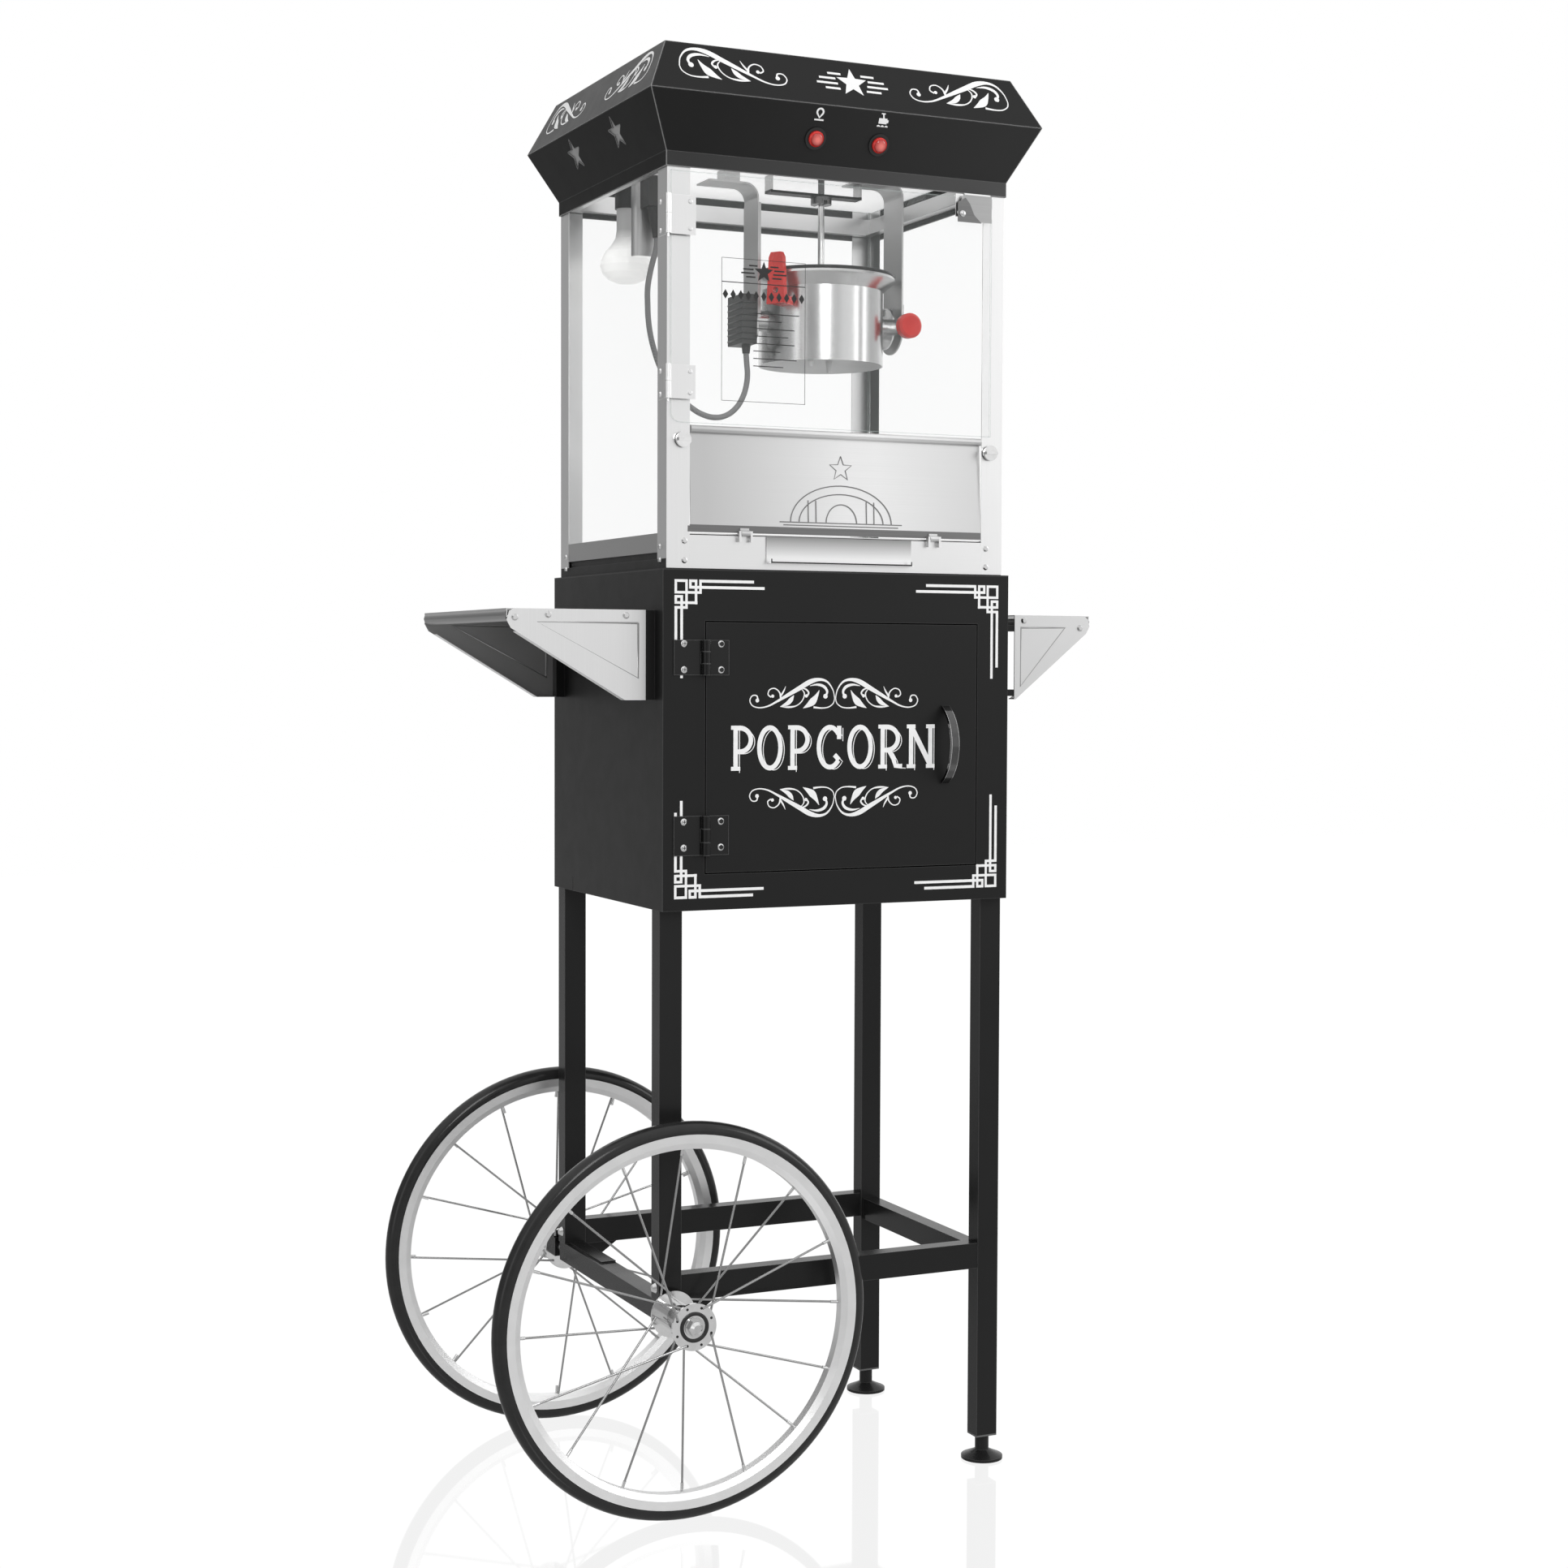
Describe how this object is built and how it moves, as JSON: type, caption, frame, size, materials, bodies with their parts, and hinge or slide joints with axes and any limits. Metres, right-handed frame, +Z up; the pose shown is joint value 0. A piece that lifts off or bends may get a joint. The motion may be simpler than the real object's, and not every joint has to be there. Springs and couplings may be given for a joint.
{
  "type": "popcorn cart",
  "caption": "Steel popcorn cart: glazed cabin with a tilting kettle over a cabinet, on spoked wheels and levelling feet, with side shelves.",
  "frame": {"origin": "on the floor, under the middle of the cart's box (wheels to right shelf, axle end to axle end)", "axes": "+Z up, -Y the front with the doors, +X to the right with the two levelling feet"},
  "size_m": [0.7954, 0.5078, 1.6783],
  "materials": {
    "black_powder_coat": "satin",
    "brushed_steel": "brushed",
    "polished_steel": "polished",
    "bright_steel": "polished",
    "dark_steel": "satin",
    "chrome_plate": "polished",
    "clear_glass": "clear",
    "frosted_glass": "frosted",
    "white_lens": "satin",
    "white_pan": "satin",
    "red_plastic": "gloss",
    "black_plastic": "satin",
    "dark_plastic": "satin",
    "grey_plastic": "satin",
    "cord_sleeve": "matte",
    "black_rubber": "matte"
  },
  "bodies": {
    "root": {"legs": "black_powder_coat", "stretchers": "black_powder_coat", "axle_beam": "black_powder_coat", "axle": "bright_steel", "foot_bushes": "grey_plastic", "fasteners": "bright_steel", "cabinet_front": "black_powder_coat", "cabinet_back": "black_powder_coat", "cabinet_sides": "black_powder_coat", "cabinet_decks": "black_powder_coat", "door_hinge_leaves": "black_powder_coat", "shelf_trays": "brushed_steel", "shelf_brackets": "brushed_steel", "shelf_wall_mounts": "black_powder_coat", "popper_base": "black_powder_coat", "popper_rails": "polished_steel", "crumb_screen": "polished_steel", "corner_posts": "polished_steel", "fixed_glass": "clear_glass", "ceiling_panel": "polished_steel", "canopy": "black_powder_coat", "star_lenses": "white_lens", "button_bezels": "black_plastic", "stir_motor": "grey_plastic", "ceiling_brackets": "brushed_steel", "lead_plugs": "dark_plastic", "kettle_lead": "cord_sleeve", "lamp_socket": "black_plastic", "lamp_bulb": "frosted_glass", "glass_hinge_leaves": "polished_steel"},
    "cabinet_door": {"door_panel": "black_powder_coat", "door_hinge_flags": "black_powder_coat", "door_handle": "chrome_plate"},
    "glass_door": {"glass_door_pane": "clear_glass", "glass_door_hardware": "polished_steel"},
    "serving_flap": {"serving_flap": "brushed_steel"},
    "crumb_drawer": {"crumb_drawer": "polished_steel"},
    "flap_catch_left": {"flap_catch_left": "chrome_plate"},
    "flap_catch_right": {"flap_catch_right": "chrome_plate"},
    "light_button": {"light_button": "red_plastic"},
    "kettle_button": {"kettle_button": "red_plastic"},
    "kettle": {"kettle_pot": "polished_steel", "kettle_base": "white_pan", "kettle_lid_rear": "dark_steel", "kettle_grip": "red_plastic", "dump_knob": "red_plastic"},
    "kettle_lid": {"kettle_lid_front": "dark_steel"},
    "stirrer": {"stirrer": "bright_steel"},
    "drive_shaft": {"drive_shaft": "bright_steel"},
    "kettle_latch": {"kettle_latch": "bright_steel"},
    "wheel_front": {"wheel_front_tyre": "black_rubber", "wheel_front_rim": "chrome_plate", "wheel_front_spokes": "chrome_plate", "wheel_front_hub": "chrome_plate"},
    "wheel_rear": {"wheel_rear_tyre": "black_rubber", "wheel_rear_rim": "chrome_plate", "wheel_rear_spokes": "chrome_plate", "wheel_rear_hub": "chrome_plate"},
    "foot_front": {"foot_front": "black_plastic"},
    "foot_rear": {"foot_rear": "black_plastic"}
  },
  "joints": [
    {"name": "wheel_front_spin", "type": "hinge", "parent": "root", "child": "wheel_front", "pos_m": [-0.1691, -0.2115, 0.2286], "axis": [0, 1, 0], "continuous": true},
    {"name": "wheel_rear_spin", "type": "hinge", "parent": "root", "child": "wheel_rear", "pos_m": [-0.1691, 0.2115, 0.2286], "axis": [0, 1, 0], "continuous": true},
    {"name": "cabinet_door_swing", "type": "hinge", "parent": "root", "child": "cabinet_door", "pos_m": [-0.132, -0.1875, 0.88], "axis": [0, 0, -1], "range_deg": [0, 110]},
    {"name": "glass_door_swing", "type": "hinge", "parent": "root", "child": "glass_door", "pos_m": [-0.1788, -0.183, 1.393], "axis": [0, 0, -1], "range_deg": [0, 170]},
    {"name": "serving_flap_fold", "type": "hinge", "parent": "root", "child": "serving_flap", "pos_m": [0.0417, -0.18, 1.127], "axis": [1, 0, 0], "range_deg": [0, 90]},
    {"name": "crumb_drawer_slide", "type": "slide", "parent": "root", "child": "crumb_drawer", "axis": [0, -1, 0], "range_m": [0, 0.22]},
    {"name": "flap_catch_left_turn", "type": "hinge", "parent": "root", "child": "flap_catch_left", "pos_m": [-0.1581, -0.18, 1.232], "axis": [0, 1, 0], "range_deg": [0, 90]},
    {"name": "flap_catch_right_turn", "type": "hinge", "parent": "root", "child": "flap_catch_right", "pos_m": [0.2425, -0.18, 1.232], "axis": [0, -1, 0], "range_deg": [0, 90]},
    {"name": "light_button_press", "type": "slide", "parent": "root", "child": "light_button", "axis": [0, 0.8947, 0.4466], "range_m": [0, 0.003], "stiffness_N_per_m": 500, "springref_m": -0.001},
    {"name": "kettle_button_press", "type": "slide", "parent": "root", "child": "kettle_button", "axis": [0, 0.8947, 0.4466], "range_m": [0, 0.003], "stiffness_N_per_m": 500, "springref_m": -0.001},
    {"name": "kettle_tilt", "type": "hinge", "parent": "root", "child": "kettle", "pos_m": [0.1037, 0.005, 1.4], "axis": [1, 0, 0], "range_deg": [0, 110]},
    {"name": "kettle_lid_lift", "type": "hinge", "parent": "kettle", "child": "kettle_lid", "pos_m": [0.1037, -0.004, 1.4585], "axis": [-1, 0, 0], "range_deg": [0, 80]},
    {"name": "stirrer_spin", "type": "hinge", "parent": "kettle", "child": "stirrer", "pos_m": [0.1037, 0.005, 1.4], "axis": [0, 0, 1], "continuous": true},
    {"name": "drive_shaft_spin", "type": "hinge", "parent": "root", "child": "drive_shaft", "pos_m": [0.1037, 0.005, 1.56], "axis": [0, 0, 1], "continuous": true},
    {"name": "kettle_latch_pull", "type": "hinge", "parent": "root", "child": "kettle_latch", "pos_m": [0.2059, 0.005, 1.488], "axis": [0, -1, 0], "range_deg": [0, 8], "stiffness_Nm_per_rad": 1.5, "springref_deg": -2.86},
    {"name": "foot_front_screw", "type": "slide", "parent": "root", "child": "foot_front", "axis": [0, 0, -1], "range_m": [0, 0.015]},
    {"name": "foot_rear_screw", "type": "slide", "parent": "root", "child": "foot_rear", "axis": [0, 0, -1], "range_m": [0, 0.015]}
  ],
  "couplings": [
    {"joint": "drive_shaft_spin", "follows": "stirrer_spin", "ratio": 1}
  ]
}
